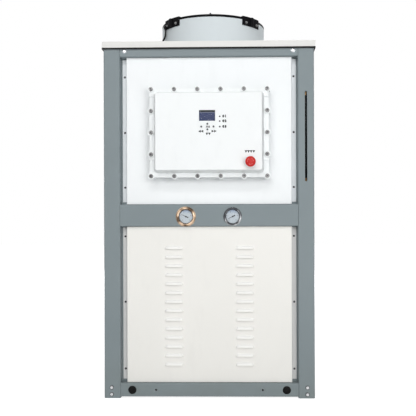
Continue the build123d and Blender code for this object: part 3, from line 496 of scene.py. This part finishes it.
PAN_HEAD = ((0.0046, 0, "o"), (0.0046, 0.0006, "o"), (0.0038, 0.0007, "o"), (0.0037, 0.0014, "o"),
            (0.0030, 0.0024, "o"), (0.0021, 0.0028, "o"), (0.0019, 0.0028, "cross"),
            (0.0016, 0.0014, "cross"))
RAIL_BOLT = ((0.0084, 0, "o"), (0.0084, 0.0008, "o"), (0.0076, 0.0010, "o"), (0.0074, 0.0022, "o"),
             (0.0062, 0.0042, "o"), (0.0042, 0.0052, "o"), (0.0038, 0.0052, "cross"),
             (0.0030, 0.0030, "cross"))
FOOT_WASHER = ((0.0088, 0, "o"), (0.0088, 0.0009, "o"), (0.0080, 0.0012, "o"))
FOOT_BOLT = ((0.0070, 0.0012, "hex"), (0.0070, 0.0044, "hex"), (0.0058, 0.0054, "o"),
             (0.0038, 0.0054, "o"), (0.0034, 0.0046, "o"), (0.0012, 0.0046, "o"))
LID_WASHER = ((0.0090, 0, "o"), (0.0090, 0.0012, "o"), (0.0085, 0.0016, "o"))
LID_BOLT = ((0.0066, 0.0016, "o"), (0.0066, 0.0090, "o"), (0.0059, 0.0098, "o"),
            (0.0042, 0.0098, "hex"), (0.0039, 0.0048, "hex"))
# A dark disc at the floor of each hex socket: painted shade in the recess.
LID_SOCKET_SHADE = ((0.0037, 0.0048, "hex"), (0.0037, 0.0052, "hex"))
SMALL_SCREW = ((0.0028, 0, "o"), (0.0028, 0.0008, "o"), (0.0020, 0.0017, "o"),
               (0.0015, 0.0018, "cross"), (0.0012, 0.0010, "cross"))
CLAMP_BOLT = ((0.0066, 0, "o"), (0.0066, 0.0010, "o"), (0.0052, 0.0012, "hex"),
              (0.0052, 0.0050, "hex"), (0.0040, 0.0057, "o"), (0.0015, 0.0058, "o"))

OUT = {"front": (0, -1, 0), "back": (0, 1, 0), "left": (-1, 0, 0), "right": (1, 0, 0)}


def on_face(side, across, up, inward):
    """A point on one side of the cabinet, inward from its outer face, and the way out of it."""
    spots = {"front": (across, FRONT + inward, up), "back": (-across, BACK - inward, up),
             "left": (-SIDE + inward, -across, up), "right": (SIDE - inward, across, up)}
    return Vector(spots[side]), OUT[side]


upper_heights = (1.380, 1.139, 0.902)
lower_heights = (0.691, 0.407, 0.118)
places = []
for sides, reach, heights in ((("front", "back"), 0.365, upper_heights + lower_heights),
                              (("left", "right"), 0.315, lower_heights)):
    places += [on_face(side, across, up, STRIP_INWARD)
               for side in sides for across in (-reach, reach) for up in heights]
fasteners("panel_screws", "bolt_dark", PAN_HEAD, places)

top_rail_middle = 1.483
places = []
for sides, reach in ((("front", "back"), 0.360), (("left", "right"), 0.310)):
    places += [on_face(side, across, top_rail_middle, RAIL_INWARD)
               for side in sides for across in (-reach, reach)]
fasteners("top_rail_bolts", "bolt_bright", RAIL_BOLT, places)

places = [on_face(side, across, up, 0)
          for side in ("front", "back") for across in (-0.418, 0.418) for up in (0.017, 0.046)]
fasteners("foot_bolts", "stop_metal", FOOT_BOLT, places)
fasteners("foot_washers", "bolt_dark", FOOT_WASHER, places)

boss_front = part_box("control_box_body")[0].y - 0.024
columns, rows = 6, 5
pitch_across, pitch_up = 0.0978, 0.0914
places = []
for column in range(columns):
    for row in range(rows):
        if column in (0, columns - 1) or row in (0, rows - 1):
            across = LID_ACROSS + (column - (columns - 1) / 2) * pitch_across
            up = LID_UP + (row - (rows - 1) / 2) * pitch_up
            places.append((Vector((across, boss_front, up)), OUT["front"]))
fasteners("lid_bolts", "bolt_grey", LID_BOLT, places, 23)
fasteners("lid_washers", "bolt_dull", LID_WASHER, places, 23)
# The dark socket discs are painted shade inside the bolt heads' hex sockets.
fasteners("lid_bolt_sockets", "bolt_dark", LID_SOCKET_SHADE, places, 23)

flange_front = -0.4015
places = []
for across, radius in ((GAUGE_LEFT, 0.0375), (GAUGE_RIGHT, 0.0355)):
    for angle in (90, 210, 330):
        where = Vector((across + radius * cos(radians(angle)), flange_front,
                        GAUGE_UP + radius * sin(radians(angle))))
        places.append((where, OUT["front"]))
fasteners("gauge_screws", "bolt_bright", SMALL_SCREW, places)

clamp_reach, clamp_up = 0.2508, 1.662
places = []
for angle in (40, 56, -40, -56, 124, 140, -124, -140):
    way = Vector((sin(radians(angle)), -cos(radians(angle)), 0))
    places.append((clamp_reach * way + Vector((0, 0, clamp_up)), way))
fasteners("clamp_bolts", "bolt_dull", CLAMP_BOLT, places)


# Fins and tubes of the coils

def fin_block(name, x_low, x_high):
    """Thin upright corrugated fins, one after another along the whole coil."""
    low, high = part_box("condenser_cores")
    mesh = bmesh.new()
    pitch = 0.0026
    wave = 0.0006
    steps = 12
    for number in range(int((high.y - low.y) / pitch) + 1):
        y = low.y + number * pitch
        lines = []
        for step in range(steps + 1):
            x = x_low + (x_high - x_low) * step / steps
            shift = wave * (-1) ** step
            lines.append([mesh.verts.new((x, y + shift, z)) for z in (low.z, high.z)])
        for first, second in zip(lines, lines[1:]):
            mesh.faces.new((first[0], second[0], second[1], first[1]))
    made = piece(name, mesh, "coil_fins", smooth=10)
    thick = made.modifiers.new("thickness", "SOLIDIFY")
    thick.thickness = 0.0002
    thick.offset = 0
    return made


def coil_tubes(name, columns):
    """The tubes through the fins, a row for each depth, staggered."""
    low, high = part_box("condenser_cores")
    mesh = bmesh.new()
    pitch = 0.025
    radius = 0.0048
    end = 0.001
    tube = ((radius, end, "o"), (radius, high.y - low.y - end, "o"))
    for column, x in enumerate(columns):
        for row in range(int((high.z - low.z) / pitch) - 1):
            z = low.z + (row + 0.75 + 0.5 * (column % 2)) * pitch
            turned(mesh, tube, outward((x, low.y, z), (0, 1, 0)), 10)
    return piece(name, mesh, "copper")


cores_low, cores_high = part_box("condenser_cores")
core_depth = 0.062
inset = 0.0008
shares = (0.2, 0.5, 0.8)
left_fins = fin_block("coil_fins_left", cores_low.x + inset, cores_low.x + core_depth - inset)
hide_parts("condenser_cores")
fin_block("coil_fins_right", cores_high.x - core_depth + inset, cores_high.x - inset)
coil_tubes("coil_tubes", [cores_low.x + share * core_depth for share in shares]
           + [cores_high.x - share * core_depth for share in shares])


# Signs on the lid

lid_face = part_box("control_box_lid")[0].y
on_lid = facing_front(0, lid_face, 0)


def triangles(mesh, count, x, z, size, spacing, way):
    """A row of solid arrowheads in the plane of the lid, all pointing at an angle in degrees."""
    for number in range(count):
        middle = x + (number - (count - 1) / 2) * spacing
        corners = [(middle + size * cos(radians(way + turn)), z + size * sin(radians(way + turn)))
                   for turn in (0, 125, 235)]
        slab(mesh, corners, PROUD, 0.0002, on_lid)


def lettering(name, text, x, z, size, face, thicken=0.0, spread=1.0):
    """Plain numbers standing on a face that looks to the front."""
    curve = bpy.data.curves.new(name, "FONT")
    curve.body = text
    curve.size = size
    curve.align_x = "CENTER"
    curve.align_y = "CENTER"
    curve.extrude = 0.00006
    curve.offset = thicken
    curve.space_character = spread
    source = bpy.data.objects.new(name, curve)
    bpy.context.scene.collection.objects.link(source)
    bpy.context.view_layer.update()
    data = bpy.data.meshes.new_from_object(source)
    bpy.data.objects.remove(source)
    data.transform(facing_front(x, face - 0.00008, z))
    data.materials.clear()
    data.materials.append(finishes["print_black"])
    made = bpy.data.objects.new(name, data)
    bpy.context.scene.collection.objects.link(made)
    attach(made, "cabinet")


signs = bmesh.new()
triangles(signs, 2, -0.0257, 1.1287, 0.0066, 0.0105, 180)
triangles(signs, 2, 0.0267, 1.1287, 0.0066, 0.0105, 0)
triangles(signs, 2, 0.0030, 1.1475, 0.0056, 0.0090, 90)
triangles(signs, 2, 0.0033, 1.1187, 0.0066, 0.0104, 270)
triangles(signs, 4, 0.1757, 1.0450, 0.0068, 0.0108, 270)
piece("lid_signs", signs, "print_black")
for number, z in (("1", 1.1905), ("2", 1.1705), ("3", 1.1475)):
    lettering("lamp_number_" + number, "0" + number, 0.0709, z, 0.0130, lid_face, 0.0011, 1.4)


# Dial marks

def scale_angle(number, count):
    """The angle of one of a scale's equal steps, clockwise from its lower left."""
    return radians(225 - 270 * number / count)


def dial_marks(name, across, unit):
    """The marks, line, numbers and black shade ring of a gauge whose numbers rise by a unit. The
    ring is painted shadow where the bezel shades the dial's edge.
    """
    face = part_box("gauge_dials")[0].y
    on_dial = facing_front(across, face, GAUGE_UP)
    radius = 0.0280
    steps, minor = 5, 5
    mesh = bmesh.new()
    for number in range(steps * minor + 1):
        angle = scale_angle(number, steps * minor)
        long = number % minor == 0
        inner = radius - (0.0038 if long else 0.0020)
        half = 0.0004 if long else 0.00022
        way = Vector((cos(angle), sin(angle)))
        side = Vector((-way.y, way.x)) * half
        corners = [inner * way - side, radius * way - side,
                   radius * way + side, inner * way + side]
        slab(mesh, [tuple(corner) for corner in corners], PROUD, 0.00012, on_dial)
    line = radius - 0.0003
    arc = [scale_angle(step, 54) for step in range(55)]
    for first, second in zip(arc, arc[1:]):
        corners = [(reach * cos(angle), reach * sin(angle)) for reach, angle in
                   ((line, first), (radius, first), (radius, second), (line, second))]
        slab(mesh, corners, PROUD, 0.0001, on_dial)
    piece(name, mesh, "print_black")
    # A thin black ring on the dial's edge: painted shadow of the bezel.
    seal = bmesh.new()
    section = ((0.0300, 0.0001), (0.0300, 0.0030), (0.0288, 0.0030), (0.0288, 0.0001))
    hollow(seal, section, on_dial, 48)
    piece(name.replace("marks", "seal"), seal, "print_black")
    within = radius - 0.0072
    for number in range(steps + 1):
        angle = scale_angle(number, steps)
        at = (across + within * cos(angle), GAUGE_UP + within * sin(angle))
        lettering(f"{name}_number_{number}", str(number * unit), *at, 0.0048, face)


dial_marks("dial_left_marks", GAUGE_LEFT, 2)
dial_marks("dial_right_marks", GAUGE_RIGHT, 5)


# Turning arrows on the stop button's head

def dome_point(radius, angle, proud):
    """A point on the head's dome, a little proud of it."""
    sphere = 0.0302
    sag = sphere - sqrt(sphere**2 - radius**2)
    head_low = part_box("stop_head")[0].y
    return Vector((STOP_ACROSS + radius * cos(angle), head_low + sag - proud,
                   STOP_UP + radius * sin(angle)))


def head_arrows():
    """Three thin arrows that sweep clockwise, which is the way the head turns."""
    mesh = bmesh.new()
    middle, half, barb = 0.0125, 0.0010, 0.0028
    thick = 0.0003
    sweep, steps = radians(62), 12
    section = ((middle - half, 0.0), (middle - half, thick),
               (middle + half, thick), (middle + half, 0.0))
    for number in range(3):
        start = radians(120 * number + 77)
        rows = []
        for step in range(steps + 1):
            angle = start - sweep * step / steps
            points = [dome_point(radius, angle, proud) for radius, proud in section]
            rows.append([mesh.verts.new(point) for point in points])
        for first, second in zip(rows, rows[1:]):
            for low, high in ((0, 1), (1, 2), (2, 3)):
                mesh.faces.new((first[low], first[high], second[high], second[low]))
        end = start - sweep
        tip = mesh.verts.new(dome_point(middle, end - radians(20), thick))
        wings = [mesh.verts.new(dome_point(radius, end + radians(2), thick))
                 for radius in (middle - barb, middle + barb)]
        mesh.faces.new((wings[0], tip, wings[1]))
    return piece("stop_head_arrows", mesh, "arrow_pink", "stop_head")


head_arrows()


# Floor, world and lamps

def seen_directly(tree):
    """1 for camera, mirror and glass rays, 0 for the light that falls on the object."""
    path = tree.nodes.new("ShaderNodeLightPath").outputs
    either = reckoned(tree, "MAXIMUM", path["Is Camera Ray"], path["Is Glossy Ray"])
    return reckoned(tree, "MAXIMUM", either, path["Is Transmission Ray"])


def make_world():
    world = bpy.data.worlds.new("studio")
    world.use_nodes = True
    tree = world.node_tree
    background = tree.nodes["Background"]
    level = ranged(tree, seen_directly(tree), 0.16, 1.0, 0, 1)
    background.inputs["Color"].default_value = (1, 1, 1, 1)
    join(tree, level, background.inputs["Strength"])
    bpy.context.scene.world = world


def make_floor():
    """A white floor that keeps the object's shadow near it and glows further out."""
    material = bpy.data.materials.new("floor")
    material.use_nodes = True
    tree = material.node_tree
    tree.nodes.remove(tree.nodes["Principled BSDF"])
    diffuse = tree.nodes.new("ShaderNodeBsdfDiffuse")
    diffuse.inputs["Color"].default_value = (0.80, 0.80, 0.80, 1)
    glow = tree.nodes.new("ShaderNodeEmission")
    coordinates = tree.nodes.new("ShaderNodeTexCoord")
    distance = tree.nodes.new("ShaderNodeVectorMath")
    distance.operation = "LENGTH"
    join(tree, coordinates.outputs["Object"], distance.inputs[0])
    rising = ranged(tree, distance.outputs["Value"], 0.74, 1.0, 1.4, 3.4)
    join(tree, reckoned(tree, "MULTIPLY", rising, seen_directly(tree)), glow.inputs["Strength"])
    both = tree.nodes.new("ShaderNodeAddShader")
    join(tree, diffuse.outputs["BSDF"], both.inputs[0])
    join(tree, glow.outputs["Emission"], both.inputs[1])
    join(tree, both.outputs["Shader"], tree.nodes["Material Output"].inputs["Surface"])
    mesh = bpy.data.meshes.new("floor")
    reach = 14
    corners = [(-reach, -reach, 0), (reach, -reach, 0), (reach, reach, 0), (-reach, reach, 0)]
    mesh.from_pydata(corners, [], [(0, 1, 2, 3)])
    floor = bpy.data.objects.new("floor", mesh)
    mesh.materials.append(material)
    bpy.context.scene.collection.objects.link(floor)


def lamp(name, where, aim, wide, tall, power):
    data = bpy.data.lights.new(name, "AREA")
    data.shape = "RECTANGLE"
    data.size = wide
    data.size_y = tall
    data.energy = power
    light = bpy.data.objects.new(name, data)
    bpy.context.scene.collection.objects.link(light)
    light.location = where
    light.rotation_euler = (Vector(aim) - Vector(where)).to_track_quat("-Z", "Y").to_euler()


make_world()
make_floor()
lamp("key", (-1.4, -6.6, 2.8), (0, -0.4, 0.9), 4.5, 2.0, 98)
lamp("fill", (2.9, -6.6, 1.4), (0, -0.4, 0.9), 3.0, 3.0, 154)
lamp("top", (-0.1, -5.0, 4.6), (0, -0.4, 0.8), 4.0, 1.0, 80)
lamp("rear_left", (-3.4, 5.6, 1.6), (0, 0, 0.9), 1.4, 2.4, 135)
lamp("rear_right", (3.4, 5.6, 1.6), (0, 0, 0.9), 1.4, 2.4, 135)
lamp("overhead", (0, 0.7, 4.8), (0, 0.2, 1.5), 0.8, 0.8, 45)
